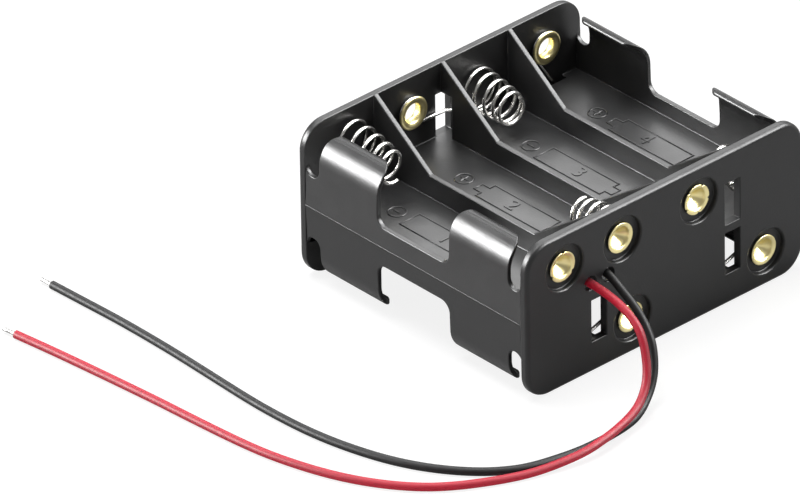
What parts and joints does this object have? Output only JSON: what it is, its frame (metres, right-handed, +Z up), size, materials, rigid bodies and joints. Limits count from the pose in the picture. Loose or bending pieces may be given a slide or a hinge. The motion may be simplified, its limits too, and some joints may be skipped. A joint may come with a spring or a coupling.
{
  "type": "cylindrical cell holder",
  "caption": "Black moulded holder for round cells in two layers, with clip-over side walls, coil spring contacts, brass eyelets and a red and a black lead.",
  "frame": {"origin": "bottom centre of the moulded frame, on the surface it stands on", "axes": "+X across the four bays, +Y along the cells from the plate with the leads to the other plate, +Z up through the two layers"},
  "size_m": [0.1129, 0.1062, 0.03],
  "materials": {
    "frame_plastic": "semi-gloss black moulding",
    "spring_wire": "bright nickel-plated spring wire",
    "eyelet_brass": "bright brass",
    "red_insulation": "smooth red insulation",
    "black_insulation": "smooth black insulation",
    "tinned_strands": "tinned strands"
  },
  "bodies": {
    "root": {"holder_frame": "frame_plastic", "spring_top_1": "spring_wire", "spring_top_2": "spring_wire", "spring_top_3": "spring_wire", "spring_top_4": "spring_wire", "spring_bottom_1": "spring_wire", "spring_bottom_2": "spring_wire", "spring_bottom_3": "spring_wire", "spring_bottom_4": "spring_wire", "eyelet_top_1": "eyelet_brass", "eyelet_top_2": "eyelet_brass", "eyelet_top_3": "eyelet_brass", "eyelet_top_4": "eyelet_brass", "eyelet_bottom_1": "eyelet_brass", "eyelet_bottom_2": "eyelet_brass", "eyelet_bottom_3": "eyelet_brass", "eyelet_bottom_4": "eyelet_brass", "eyelet_negative": "eyelet_brass", "red_lead": "red_insulation", "red_lead_tip": "tinned_strands", "red_lead_soldered_end": "tinned_strands", "black_lead": "black_insulation", "black_lead_tip": "tinned_strands", "black_lead_soldered_end": "tinned_strands"}
  },
  "joints": []
}
